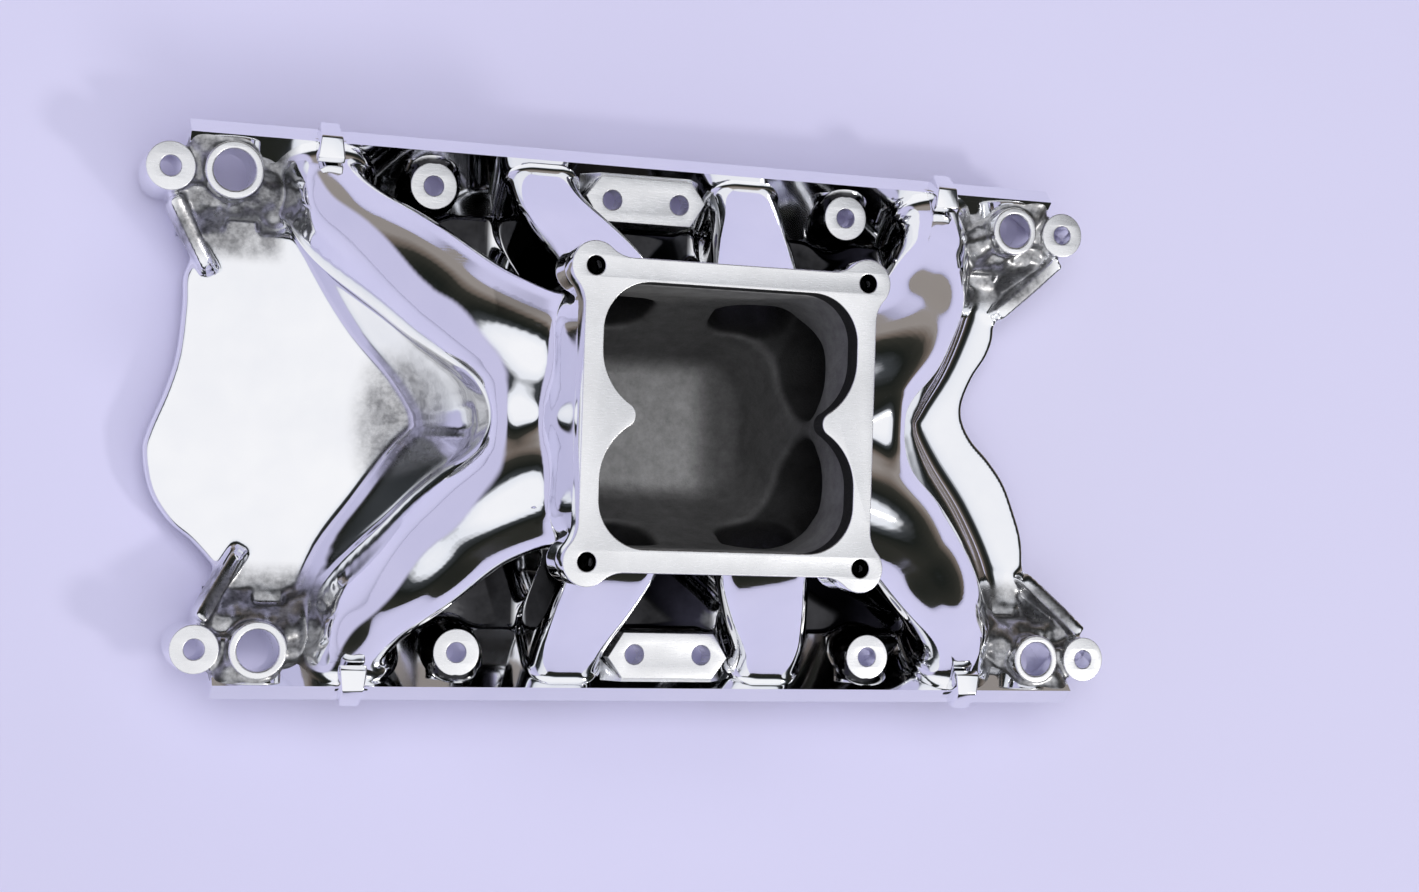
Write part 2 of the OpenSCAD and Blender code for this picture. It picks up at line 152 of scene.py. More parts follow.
def spline(points, count):
    """Smooth line through points, as count rows evenly spread along it."""
    p = np.array(points, float)
    p = np.vstack([2 * p[0] - p[1], p, 2 * p[-1] - p[-2]])
    rows = []
    for i in range(1, len(p) - 2):
        t = np.linspace(0, 1, 24, endpoint=False)[:, None]
        a, b, c, d = p[i - 1], p[i], p[i + 1], p[i + 2]
        rows.append(0.5 * (2 * b + (c - a) * t + (2 * a - 5 * b + 4 * c - d) * t ** 2
                           + (3 * b - a - 3 * c + d) * t ** 3))
    rows.append(p[-2][None])
    line = np.vstack(rows)
    run = np.concatenate([[0], np.cumsum(np.linalg.norm(np.diff(line, axis=0)[:, :3], axis=1))])
    even = np.linspace(0, run[-1], count)
    return np.stack([np.interp(even, run, line[:, i]) for i in range(line.shape[1])], 1), run[-1]


# rows in the table of a duct's middle line
ROWS = 481


def eased(rows, width):
    """A line's rows averaged over their neighbours, its ends kept."""
    out = np.vstack([2 * rows[0] - rows[width:0:-1], rows, 2 * rows[-1] - rows[-2:-width - 2:-1]])
    kernel = np.hanning(2 * width + 3)[1:-1]
    kernel /= kernel.sum()
    return np.stack([np.convolve(out[:, i], kernel, "valid") for i in range(out.shape[1])], 1)


class Sweep:
    """A duct along a smooth line: for each point of a box, where it is in the duct's section."""

    def __init__(self, path, across):
        self.line, self.length = spline(path, ROWS)
        self.line = eased(eased(self.line, 26), 26)
        self.length = np.linalg.norm(np.diff(self.line, axis=0), axis=1).sum()
        self.along = np.gradient(self.line, axis=0)
        self.along /= np.linalg.norm(self.along, axis=1)[:, None]
        self.bend = np.gradient(self.along, axis=0) * (ROWS - 1) / self.length
        self.wide, self.up = [], []
        w = np.array(across, float)
        for t in self.along:
            w = w - t * (w @ t)
            w /= np.linalg.norm(w)
            self.wide.append(w)
            self.up.append(np.cross(t, w))
        self.wide, self.up = np.array(self.wide), np.array(self.up)

    def at(self, x, y, z):
        x, y, z = np.broadcast_arrays(x, y, z)
        best = np.full(x.shape, 1e9, np.float32)
        index = np.zeros(x.shape, np.float32)
        for i in range(0, ROWS, 16):
            c = self.line[i]
            d = (x - c[0]) ** 2 + (y - c[1]) ** 2 + (z - c[2]) ** 2
            near = d < best
            best[near] = d[near]
            index[near] = i
        rows = np.arange(ROWS)
        unit_step = self.length / (ROWS - 1)
        for _ in range(4):
            c = [np.interp(index, rows, self.line[:, i]) for i in range(3)]
            t = [np.interp(index, rows, self.along[:, i]) for i in range(3)]
            k = [np.interp(index, rows, self.bend[:, i]) for i in range(3)]
            d = (x - c[0], y - c[1], z - c[2])
            ahead = d[0] * t[0] + d[1] * t[1] + d[2] * t[2]
            spread = np.clip(1 - d[0] * k[0] - d[1] * k[1] - d[2] * k[2], 0.35, 4)
            index = np.clip(index + ahead / spread / unit_step, 0, ROWS - 1)
        c = [np.interp(index, rows, self.line[:, i]) for i in range(3)]
        w = [np.interp(index, rows, self.wide[:, i]) for i in range(3)]
        n = [np.interp(index, rows, self.up[:, i]) for i in range(3)]
        t = [np.interp(index, rows, self.along[:, i]) for i in range(3)]
        dx, dy, dz = x - c[0], y - c[1], z - c[2]
        self.s = (index / (ROWS - 1)).astype(np.float32)
        self.u = (dx * w[0] + dy * w[1] + dz * w[2]).astype(np.float32)
        self.v = (dx * n[0] + dy * n[1] + dz * n[2]).astype(np.float32)
        self.beyond = np.abs(dx * t[0] + dy * t[1] + dz * t[2]).astype(np.float32)
        return self

    def duct(self, widths, heights, radii):
        """Distance to the duct, its width, height and corner radius given at even places along it."""
        places = np.linspace(0, 1, len(widths))
        w, h, r = (np.interp(self.s, places, v) for v in (widths, heights, radii))
        side = rounded_box_2d(self.u, self.v, w / 2, h / 2, np.minimum(r, np.minimum(w, h) / 2))
        outside = np.sqrt(np.maximum(side, 0) ** 2 + self.beyond ** 2)
        return np.where(self.beyond > 0.02, outside, side).astype(np.float32)


# ---------------------------------------------------------------- where things are
SLOPE = np.array([0, -ROOT_HALF, ROOT_HALF])
FRONT, REAR = -1, 1
FRONT_EDGE = [[-230, 90], [-243, 71], [-244, 53], [-246, 29], [-251, 10], [-259, -11],
              [-261, -22], [-257, -41], [-247, -56], [-236, -65], [-224, -78], [-214, -92]]
REAR_EDGE = [[222, -96], [229, -82], [231, -67], [230, -52], [225, -37], [218, -21], [208, -8],
             [197, 3], [191, 14], [191, 24], [197, 38], [205, 50], [209, 62], [207, 71], [198, 84]]
# foot of the V-shaped wall on the valley plate, from the +Y bank round to the -Y bank, as (X, Y)
SKIRT_FEET = {
    FRONT: [[-190, 122], [-187, 106], [-177, 79], [-157, 47], [-132, 19], [-121, -3],
            [-134, -19], [-152, -44], [-171, -71], [-184, -106], [-186, -122]],
    REAR: [[190, 122], [190, 103], [189, 78], [176, 44], [160, 19], [155, 7],
           [166, -13], [187, -41], [203, -72], [208, -100], [209, -120]],
}
# top of that wall on the middle line, as (X, Y, Z)
SADDLE = {FRONT: [-93, -3, 106], REAR: [103, 5, 106]}
# foot and head of each corner strut, in one bank's coordinates
STRUTS = {FRONT: ([-223, 72], [-243, 104]), REAR: ([219, 74], [247, 104])}
# outside and bore of each coolant neck
COOLANT = {FRONT: (29.0, 20.8), REAR: (26.4, 18.6)}
# outline of the middle pads, in one bank's coordinates
PAD_RING = [(-33, 120), (-25, 131), (25, 131), (33, 120), (25, 107), (-25, 107)]
# side view of a lug on the port flange, as (Y, Z)
LUG_SIDE = [(131, 46.2), (124.6, 53), (127, 56.2), (137.5, 56), (145.9, 47), (143, 40.2), (138, 42)]


def port(i):
    """Centre of port i on the port face, in one bank's coordinates."""
    return np.array([(i - 1.5) * PORT_PITCH, PORT_POINT[0], PORT_POINT[1]])


def bank_x(x, side):
    return x + side * HALF_OFFSET


def unit(v):
    v = np.array(v, float)
    return v / np.linalg.norm(v)


def rounded_corner(before, corner, after, lead):
    """Three points that turn a corner smoothly."""
    a, b = unit(corner - before), unit(after - corner)
    return [corner - lead * a, corner + lead * 0.25 * (b - a), corner + lead * b]


def end_corners(i, side):
    """The two inner corners of an end runner's line."""
    if i == 0:
        return [bank_x(-106, side), 43, 101], [bank_x(-56, side), 26.5, 112]
    return [bank_x(109, side), 44, 101], [bank_x(34, side), 26.5, 112]


def runner_line(i, side):
    """The middle line of runner i, from outside its port to inside the plenum."""
    p = port(i)
    q = p + 30 * SLOPE
    if i in (0, 3):
        c, e = (np.array(v, float) for v in end_corners(i, side))
        mid = (q + 20 * unit(c - q) + c - 22 * unit(c - q)) / 2 + np.array([0, 0, 4.5])
        return ([p - 14 * SLOPE] + rounded_corner(p, q, c, 20) + [mid]
                + rounded_corner(q, c, e, 22) + [e])
    aim = np.array([bank_x(-44, side) - 3 * side if i == 1 else bank_x(35.5, side) - 4 * side,
                    62, 92], float)
    q = p + 27 * SLOPE
    return ([p - 14 * SLOPE] + rounded_corner(p, q, aim + np.array([0, 0, 1]), 16)
            + [aim + np.array([0, 0, 1]), aim + np.array([0, -22, 12])])


# ---------------------------------------------------------------- the casting
solid = np.full(COUNT, FAR, np.float32)
hollow = np.full(COUNT, FAR, np.float32)
chamber = np.full(COUNT, FAR, np.float32)
beside = np.full(COUNT, -FAR, np.float32)


def build_plate():
    """The valley plate, with its wavy front and rear edges."""
    front = spline(FRONT_EDGE, 60)[0][4:-4]
    rear = spline(REAR_EDGE, 60)[0][4:-3]
    outline = ([[-192, 130], [-232, 92]] + front.tolist()
               + [[-224, -80], [-216, -92], [-184, -130], [194, -130], [232, -92]]
               + rear.tolist() + [[207, 72], [213, 84], [184, 130]])
    part = Part([-270, -140, 2], [242, 140, 28])
    flat = outline_distance(part.x, part.y, outline)
    add(solid, part, slab(flat, part.z, PLATE_LOW, PLATE_TOP, 3.2), 4)


def build_flange(side):
    """The sloping port flange of one bank, for the fillets that run onto it."""
    part = Part([-262, side * 88 if side > 0 else -150, -4], [262, 150 if side > 0 else -78, 56])
    bx, by = part.bank(side)
    d = convex(by, part.z, [(FACE_Y, 0), (INNER_Y, 0), (FACE_Y + 40 - 7.07, 47.07),
                            (FACE_Y + 40, 40)], 2) + 0.6
    d = smooth_max(d, np.abs(bx) - 236.4, 2)
    add(solid, part, d, 9)


def build_runner(i, side):
    """Runner i of a bank: its tube, and the passage kept for later."""
    sweep = Sweep(runner_line(i, side), [1, 0, 0])
    low = sweep.line.min(0) - 42
    high = sweep.line.max(0) + 42
    x0, x1 = low[0] - side * HALF_OFFSET, high[0] - side * HALF_OFFSET
    y0, y1 = (low[1], high[1]) if side > 0 else (-high[1], -low[1])
    part = Part([x0, y0, low[2]], [x1, y1, high[2]])
    bx, by = part.bank(side)
    sweep.at(bx, by, part.z)
    if i in (0, 3):
        body = sweep.duct([39, 42, 48, 54, 58, 60], [47, 47, 49, 50, 50, 50],
                          [18, 19, 21, 23, 24, 24])
        inner = sweep.duct([31, 31, 35, 40, 44, 45], [39, 39, 40, 41, 41, 41],
                           [13.5, 14, 15, 16, 17, 17])
        add(solid, part, body, 14)
    else:
        body = sweep.duct([37, 38, 41, 45, 48, 48], [46, 46, 45, 44, 44, 44], [14, 12, 11, 10, 10, 10])
        inner = sweep.duct([31, 31, 33, 36, 39, 40], [39, 38, 36, 36, 36, 36], [13.5, 13, 12, 12, 13, 14])
        add(solid, part, body, 8)
    flare = 7 * np.clip((sweep.s - 0.72) / 0.28, 0, 1) ** 2
    ducts.append((part, inner - flare))
    past = {0: sweep.u, 3: -sweep.u}.get(i, np.abs(sweep.u)) - 22
    known = beside[part.cut]
    untouched = known < -25
    beside[part.cut] = np.where(untouched, past, np.minimum(known, past))


def build_skirt(end):
    """The V-shaped wall from the valley plate up to the end runners."""
    feet = np.array(SKIRT_FEET[end], float)
    tops = []
    for side in (1, -1):
        i = 0 if end < 0 else 3
        q = port(i) + 30 * SLOPE
        c = np.array(end_corners(i, side)[0], float)
        out = unit([c[1] - q[1], q[0] - c[0], 0]) * -end
        stations = ((-0.12, 12), (0.02, 14), (0.34, 17), (0.68, 18), (0.97, 16))
        row = [q + (c - q) * t + out * reach for t, reach in stations]
        row = [[p[0] - side * HALF_OFFSET, p[1] * side, p[2] + 2] for p in row]
        tops.append(row)
    tops = np.array(tops[0] + [SADDLE[end]] + tops[1][::-1], float)
    power = np.array([1, 1, 1, 1, 1.1, 1.25, 1.1, 1, 1, 1, 1])
    rows, _ = spline(np.hstack([feet, tops, power[:, None]]), 41)
    low = np.minimum(rows[:, :2].min(0), rows[:, 2:4].min(0)) - 14
    high = np.maximum(rows[:, :2].max(0), rows[:, 2:4].max(0)) + 14
    part = Part([low[0], low[1], 8], [high[0], high[1], 128])
    height = part.z[0, 0]
    line = []
    for foot_x, foot_y, top_x, top_y, top_z, bend in rows:
        t = np.clip((height - 17) / (top_z - 17), 0, 1) ** bend
        over = np.maximum(height - top_z, 0)
        line.append((foot_x + (top_x - foot_x) * t, foot_y + (top_y - foot_y) * t, over))
    best = None
    for (ax, ay, ao), (bx, by, bo) in zip(line, line[1:]):
        ex, ey = bx - ax, by - ay
        wx, wy = part.x - ax, part.y - ay
        t = np.clip((wx * ex + wy * ey) / (ex * ex + ey * ey + 1e-6), 0, 1)
        d = (wx - ex * t) ** 2 + (wy - ey * t) ** 2 + (ao * (1 - t) + bo * t) ** 2
        best = d if best is None else np.minimum(best, d)
    half_thickness, lean = 3.4, 0.86 if end < 0 else 0.78
    wall = (np.sqrt(best) - half_thickness) * lean
    wall = smooth_max(wall, PLATE_LOW + 2 - part.z, 2)
    add(solid, part, wall.astype(np.float32), 11)


def build_plenum():
    """The plenum box, the stud posts, and the chamber that narrows to its floor."""
    part = Part([-100, -84, 30], [78, 84, 182])
    x = part.x - CARB_X
    d = slab(rounded_box_2d(x, part.y, 72.4, 67.4, 30), part.z, 40, 174, 3)
    add(solid, part, d, 9)
    for sx in (-1, 1):
        for sy in (-1, 1):
            post = np.sqrt((x - sx * STUD) ** 2 + (part.y - sy * STUD) ** 2) - 10.6
            add(solid, part, slab(post, part.z, 150, 172, 3), 12)
    cave = Part([-90, -76, 40], [70, 76, 182])
    narrow = np.interp(cave.z, [PLENUM_FLOOR, 58, 106, 126], [27, 22, 3, 0])
    flat = rounded_box_2d(cave.x - CARB_X, cave.y, WALL_IN_X - 0.5 * narrow, WALL_IN_Y - narrow, 24)
    inner = slab(flat * 0.93, cave.z, PLENUM_FLOOR, 230, 8).astype(np.float32)
    chamber[cave.cut] = inner
    hollow[cave.cut] = smooth_min(hollow[cave.cut], inner, 5)


def build_saddles():
    """The smooth hollows between each pair of end runners, beside the plenum."""
    for end in (FRONT, REAR):
        x0, x1, half = (-106, -74, 30) if end < 0 else (54, 108, 28)
        part = Part([x0 - 24, -52, 70], [x1 + 24, 52, 136])
        d = slab(rounded_box_2d(part.x - (x0 + x1) / 2, part.y - SADDLE[end][1] * 0.6,
                                (x1 - x0) / 2, half, 12), part.z, 84, 118, 10)
        add(solid, part, d, 26)


def build_bosses(side):
    """Columns and middle pad of one bank, under the machined faces."""
    for end in (FRONT, REAR):
        for x, d, top, k in ((END_X, END_D, BOSS_TOP, 6), (COOLANT_X, COOLANT[end][0], COOLANT_TOP, 8),
                             (MID_X, MID_D + 1.4, BOSS_TOP, 12)):
            cx = end * x - side * HALF_OFFSET
            cy = side * BOLT_Y
            part = Part([cx - 34, cy - 34, -4], [cx + 34, cy + 34, 62])
            column = np.sqrt((part.x - cx) ** 2 + (part.y - cy) ** 2) - d / 2 + 0.5
            add(solid, part, slab(column, part.z, -6, top - 1.3, 1.5), k)
    part = Part([-60, side * BOLT_Y - 34, 0], [60, side * BOLT_Y + 34, 62])
    bx, by = part.bank(side)
    pad = convex(bx, by, PAD_RING, 2) + 0.5
    add(solid, part, slab(pad, part.z, 0, BOSS_TOP - 1.2, 1.5), 5)


def build_corner(side, end):
    """The lumpy gusset, strut and web round one pair of corner bosses."""
    foot, head = (np.array(v, float) for v in STRUTS[end])
    reach = np.linalg.norm(head - foot)
    along = (head - foot) / reach
    ox = -side * HALF_OFFSET
    xs = sorted([end * 176 + ox, end * 262 + ox])
    part = Part([xs[0], 60 if side > 0 else -150, 4], [xs[1], 150 if side > 0 else -60, 64])
    bx, by = part.bank(side)
    a = (bx - foot[0]) * along[0] + (by - foot[1]) * along[1]
    b = (bx - foot[0]) * along[1] - (by - foot[1]) * along[0]
    bar = convex(a, part.z, [(-6, 14), (-1, 24), (reach, 41), (reach, 22), (reach * 0.6, 12)], 3)
    bar = smooth_max(bar, np.abs(b) - 4.2, 4)
    feet = SKIRT_FEET[end][1:3] if side > 0 else SKIRT_FEET[end][-2:-4:-1]
    f0, f1 = ([p[0] + side * HALF_OFFSET, abs(p[1])] for p in feet)
    ring = [foot.tolist(), head.tolist(), [end * END_X, 128], [f0[0], 128], f0, f1]
    flat = outline_distance(bx, by, ring)
    ripple = (0.8 * np.sin(bx * 0.31 + 1.7 * side) * np.sin(by * 0.27 + part.z * 0.2 + end)
              + 0.45 * np.sin(bx * 0.73 + by * 0.58 + 2.0 * end) * np.sin(by * 0.69 - bx * 0.4))
    top = np.clip((by - 84) / 20, 0, 1)
    top = PLATE_TOP - 3 + 19 * top * top * (3 - 2 * top) + ripple
    ramp = smooth_max((part.z - top) * 0.8, flat - 1, 4)
    ramp = smooth_max(ramp, 11 - part.z, 2)
    web = smooth_max(np.abs(by - 118.5) - 6, np.abs(bx - end * 231) - 12, 3)
    web = smooth_max(web, part.z - 39.5, 4)
    add(solid, part, ramp, 5)
    add(solid, part, bar, 5)
    add(solid, part, smooth_max(web, 4 - part.z, 2), 6)
    for lump_x, lump_y, lump_z, r in ((198, 110, 33, 7), (192, 98, 26, 5.5), (229, 130, 39, 5)):
        d = np.sqrt((bx - end * lump_x) ** 2 + (by - lump_y) ** 2 + (part.z - lump_z) ** 2) - r
        add(solid, part, d, 11)
    cx, cy = end * 207, 92
    dent = slab(rounded_box_2d(bx - cx, by - cy, 8, 4.5, 2), part.z, 19.5, 60, 1.5)
    take(solid, part, dent, 3)


def cut_holes(side):
    """Bolt and coolant holes of one bank, and the plane of its port face."""
    for end in (FRONT, REAR):
        for x, d in ((END_X, BOLT_D), (MID_X, BOLT_D), (PAD_X, BOLT_D), (COOLANT_X, COOLANT[end][1])):
            cx, cy = end * x - side * HALF_OFFSET, side * BOLT_Y
            part = Part([cx - 18, cy - 18, -4], [cx + 18, cy + 18, 60])
            hole = np.sqrt((part.x - cx) ** 2 + (part.y - cy) ** 2) - d / 2 - 0.5
            take(solid, part, np.broadcast_to(hole, (hole.shape[0], hole.shape[1], part.z.size)), 0.5)
    part = Part([-274, 60 if side > 0 else -152, -4], [274, 152 if side > 0 else -60, 178])
    _, by = part.bank(side)
    solid[part.cut] = smooth_max(solid[part.cut], (by - part.z - FACE_Y + 0.3) * ROOT_HALF, 0.6)


ducts = []
for bank in (1, -1):
    build_flange(bank)
build_plate()
for bank in (1, -1):
    for number in range(4):
        build_runner(number, bank)
for way in (FRONT, REAR):
    build_skirt(way)
build_saddles()
build_plenum()
for bank in (1, -1):
    build_bosses(bank)
    for way in (FRONT, REAR):
        build_corner(bank, way)
for duct_part, duct_inner in ducts:
    hollow[duct_part.cut] = smooth_min(hollow[duct_part.cut], duct_inner, 4)
for sign_x in (-1, 1):
    for sign_y in (-1, 1):
        px, py = CARB_X + sign_x * STUD, sign_y * STUD
        drill = Part([px - 12, py - 12, 146], [px + 12, py + 12, 182])
        shape = np.sqrt((drill.x - px) ** 2 + (drill.y - py) ** 2) - STUD_HOLE_D / 2 - 0.2
        take(solid, drill, slab(shape, drill.z, 154, 200, 0.5), 0.5)
for bank in (1, -1):
    cut_holes(bank)
solid = smooth_max(solid, -hollow, 2.0).astype(np.float32)
solid = np.maximum(solid, np.maximum(AXES[2] - (CARB_LOW + 0.8), 0.3 - AXES[2])[None, None, :])


# ---------------------------------------------------------------- mesh from the field
def sample(volume, p):
    """The field at points p, between its grid values."""
    g = (p - LOW) / STEP
    g = np.clip(g, 0, np.array(volume.shape) - 1.001)
    i = g.astype(np.int64)
    f = (g - i).astype(np.float32)
    out = np.zeros(len(p), np.float32)
    for dx in (0, 1):
        for dy in (0, 1):
            for dz in (0, 1):
                w = ((f[:, 0] if dx else 1 - f[:, 0]) * (f[:, 1] if dy else 1 - f[:, 1])
                     * (f[:, 2] if dz else 1 - f[:, 2]))
                out += w * volume[i[:, 0] + dx, i[:, 1] + dy, i[:, 2] + dz]
    return out


def gradient(volume, p):
    """The field's slope at points p; a whole grid step each way keeps it free of ripples."""
    rows = []
    for axis in range(3):
        shift = np.zeros(3)
        shift[axis] = STEP
        rows.append((sample(volume, p + shift) - sample(volume, p - shift)) / (2 * STEP))
    return np.stack(rows, 1)


def surface_net(volume):
    """Quads round the zero level of a volume, one vertex in each cell that the surface crosses."""
    nx, ny, nz = volume.shape
    inside = volume < 0
    total = np.zeros((nx - 1, ny - 1, nz - 1), np.int8)
    for dx in (0, 1):
        for dy in (0, 1):
            for dz in (0, 1):
                total += inside[dx:nx - 1 + dx, dy:ny - 1 + dy, dz:nz - 1 + dz]
    cells = np.argwhere((total > 0) & (total < 8))
    ids = np.full(total.shape, -1, np.int64)
    ids[tuple(cells.T)] = np.arange(len(cells))
    place = np.zeros((len(cells), 3))
    hits = np.zeros(len(cells))
    for axis in range(3):
        others = [k for k in range(3) if k != axis]
        for a in (0, 1):
            for b in (0, 1):
                start = cells.copy()
                start[:, others[0]] += a
                start[:, others[1]] += b
                end = start.copy()
                end[:, axis] += 1
                fa, fb = volume[tuple(start.T)], volume[tuple(end.T)]
                crosses = (fa < 0) != (fb < 0)
                t = np.where(crosses, fa / np.where(crosses, fa - fb, 1), 0)
                point = start.astype(float)
                point[:, axis] += t
                place[crosses] += point[crosses]
                hits += crosses
    verts = LOW + STEP * place / hits[:, None]
    faces = []
    for axis in range(3):
        b, c = [(1, 2), (2, 0), (0, 1)][axis]
        one = [slice(None)] * 3
        two = [slice(None)] * 3
        one[axis], two[axis] = slice(0, -1), slice(1, None)
        first, second = inside[tuple(one)], inside[tuple(two)]
        for flip in (False, True):
            edges = np.argwhere((first & ~second) if not flip else (~first & second))
            keep = ((edges[:, b] > 0) & (edges[:, c] > 0)
                    & (edges[:, b] < total.shape[b]) & (edges[:, c] < total.shape[c]))
            edges = edges[keep]
            quad = []
            for db, dc in ((0, 0), (1, 0), (1, 1), (0, 1)):
                cell = edges.copy()
                cell[:, b] -= 1 - db
                cell[:, c] -= 1 - dc
                quad.append(ids[tuple(cell.T)])
            quad = np.stack(quad if not flip else quad[::-1], 1)
            faces.append(quad)
    return verts, np.vstack(faces)


def settle(verts):
    """Moves vertices onto the surface itself."""
    for _ in range(3):
        g = gradient(solid, verts)
        size = np.maximum((g ** 2).sum(1), 0.05)
        move = -sample(solid, verts)[:, None] * g / size[:, None]
        length = np.linalg.norm(move, axis=1)[:, None]
        verts = verts + move * np.minimum(1, 0.4 * STEP / np.maximum(length, 1e-6))
    return verts


def smoothstep(x, low, high):
    t = np.clip((x - low) / (high - low), 0, 1)
    return t * t * (3 - 2 * t)


def dullness_and_apex_shade(p):
    """How far the polish has missed each point, on the gussets; in the corner of the front V the same
    darkening is painted shade, where the plate lies in shadow.
    """
    away = np.hypot(p[:, 0] + 128, (p[:, 1] + 3) * 0.62)
    on_plate = smoothstep(22.0 - p[:, 2], 0, 3)
    # painted shade: the plate in the corner of the front V is darkened for the shadow that falls there
    apex = (1 - smoothstep(away, 14, 34)) * on_plate * (p[:, 0] < -112)
    side = np.where(p[:, 1] > 0, 1, -1)
    bx, by = p[:, 0] + side * HALF_OFFSET, np.abs(p[:, 1])
    corner = (smoothstep(np.abs(bx), 182, 192) * (1 - smoothstep(np.abs(bx), 238, 246))
              * smoothstep(by, 74, 84) * smoothstep(p[:, 2], 12, 20))
    return np.clip(0.85 * apex + 0.9 * corner, 0, 1)


def shadow(p):
    """Painted shade: the pockets between the runners and the drilled stud holes, where the polished surface
    is coloured near black for the shade and dark reflections there.
    """
    side = np.where(p[:, 1] > 0, 1, -1)
    bx, by = p[:, 0] + side * HALF_OFFSET, np.abs(p[:, 1])
    pit = np.hypot(np.abs(p[:, 0] - CARB_X) - STUD, np.abs(p[:, 1]) - STUD)
    # painted shade: the stud holes are coloured dark for the shade inside them
    drilled = (pit < STUD_HOLE_D / 2 + 1) * (p[:, 2] < CARB_LOW + 0.5)
    between = smoothstep(sample(beside, p), -2.5, 1.5) * (1 - smoothstep(np.abs(bx), 156, 162))
    in_bank = (1 - smoothstep(by - p[:, 2], 88, 89)) * (1 - smoothstep(by + p[:, 2], 176, 180))
    below_pad = (1 - smoothstep(p[:, 2], 112, 135)) * smoothstep(by, 44, 52)
    return np.maximum(drilled, between * in_bank * below_pad)


def inside_light(p):
    """Painted light and shade on the rough inside: brightest on the middle of the plenum floor and towards
    the rim, darkest down the runners, where shade falls.
    """
    x, y = p[:, 0] - CARB_X, p[:, 1]
    floor_part = ((1 - smoothstep(p[:, 2], 50, 66)) * (1 - smoothstep(np.abs(x + 10), 34, 56))
                  * (1 - smoothstep(np.abs(y), 26, 40)))
    rim = smoothstep(p[:, 2], 112, 150)
    in_mouth = smoothstep(sample(chamber, p), 0.8, 4.5)
    return np.clip(0.36 + 0.64 * floor_part + 0.34 * rim, 0, 1) * (1 - 0.9 * in_mouth)


def cast_mesh():
    verts, faces = surface_net(solid)
    verts = settle(verts)
    mesh = bpy.data.meshes.new("casting")
    mesh.vertices.add(len(verts))
    mesh.vertices.foreach_set("co", (verts / 1000).astype(np.float32).ravel())
    mesh.loops.add(faces.size)
    mesh.loops.foreach_set("vertex_index", faces.astype(np.int32).ravel())
    mesh.polygons.add(len(faces))
    mesh.polygons.foreach_set("loop_start", np.arange(0, faces.size, 4, dtype=np.int32))
    mesh.update(calc_edges=True)
    mesh.validate()
    return mesh


def finish_cast(mesh):
    """Normals, the inside's own material, how far the polish has missed each point with painted shade in
    the corner of the front V, painted shade in the pockets and stud holes, and painted light inside.
    """
    p = np.empty(len(mesh.vertices) * 3, np.float32)
    mesh.vertices.foreach_get("co", p)
    p = p.reshape(-1, 3).astype(float) * 1000
    normals = gradient(solid, p)
    normals /= np.maximum(np.linalg.norm(normals, axis=1), 1e-6)[:, None]
    mesh.polygons.foreach_set("use_smooth", np.ones(len(mesh.polygons), bool))
    mesh.normals_split_custom_set_from_vertices(normals.astype(np.float32))
    dull_and_shade = mesh.attributes.new("dull_and_shade", "FLOAT", "POINT")
    dull_and_shade.data.foreach_set("value", dullness_and_apex_shade(p).astype(np.float32))
    pocket_shade = mesh.attributes.new("pocket_shade", "FLOAT", "POINT")
    pocket_shade.data.foreach_set("value", shadow(p).astype(np.float32))
    lit = mesh.attributes.new("lit", "FLOAT", "POINT")
    lit.data.foreach_set("value", inside_light(p).astype(np.float32))
    middle = np.empty(len(mesh.polygons) * 3, np.float32)
    mesh.polygons.foreach_get("center", middle)
    middle = middle.reshape(-1, 3).astype(float) * 1000
    inner = sample(hollow, middle) < 1.2
    mesh.polygons.foreach_set("material_index", inner.astype(np.int32))


# ---------------------------------------------------------------- materials
def material(name, base, metallic, rough):
    m = bpy.data.materials.new(name)
    m.use_nodes = True
    tree = m.node_tree
    shader = tree.nodes["Principled BSDF"]
    shader.inputs["Base Color"].default_value = (*base, 1)
    shader.inputs["Metallic"].default_value = metallic
    shader.inputs["Roughness"].default_value = rough
    return m, tree, shader


def node(tree, kind, **values):
    n = tree.nodes.new(kind)
    for key, value in values.items():
        if key in n.inputs:
            n.inputs[key].default_value = value
        else:
            setattr(n, key, value)
    return n


def ramp(tree, source, stops):
    r = tree.nodes.new("ShaderNodeValToRGB")
    tree.links.new(source, r.inputs["Fac"])
    while len(r.color_ramp.elements) < len(stops):
        r.color_ramp.elements.new(0.5)
    for element, (place, value) in zip(r.color_ramp.elements, stops):
        element.position = place
        element.color = (value, value, value, 1) if not isinstance(value, tuple) else (*value, 1)
    return r.outputs["Color"]


def noise(tree, scale, detail=3.0, stretch=(1, 1, 1), rough=0.5):
    where = tree.nodes.new("ShaderNodeTexCoord")
    mapping = tree.nodes.new("ShaderNodeMapping")
    mapping.inputs["Scale"].default_value = stretch
    tree.links.new(where.outputs["Object"], mapping.inputs["Vector"])
    n = node(tree, "ShaderNodeTexNoise", Scale=scale, Detail=detail, Roughness=rough)
    tree.links.new(mapping.outputs["Vector"], n.inputs["Vector"])
    return n.outputs["Fac"]


def bump(tree, shader, height, strength, distance, under=None):
    b = node(tree, "ShaderNodeBump", Strength=strength, Distance=distance)
    tree.links.new(height, b.inputs["Height"])
    if under:
        tree.links.new(under, b.inputs["Normal"])
    tree.links.new(b.outputs["Normal"], shader.inputs["Normal"])
    return b.outputs["Normal"]


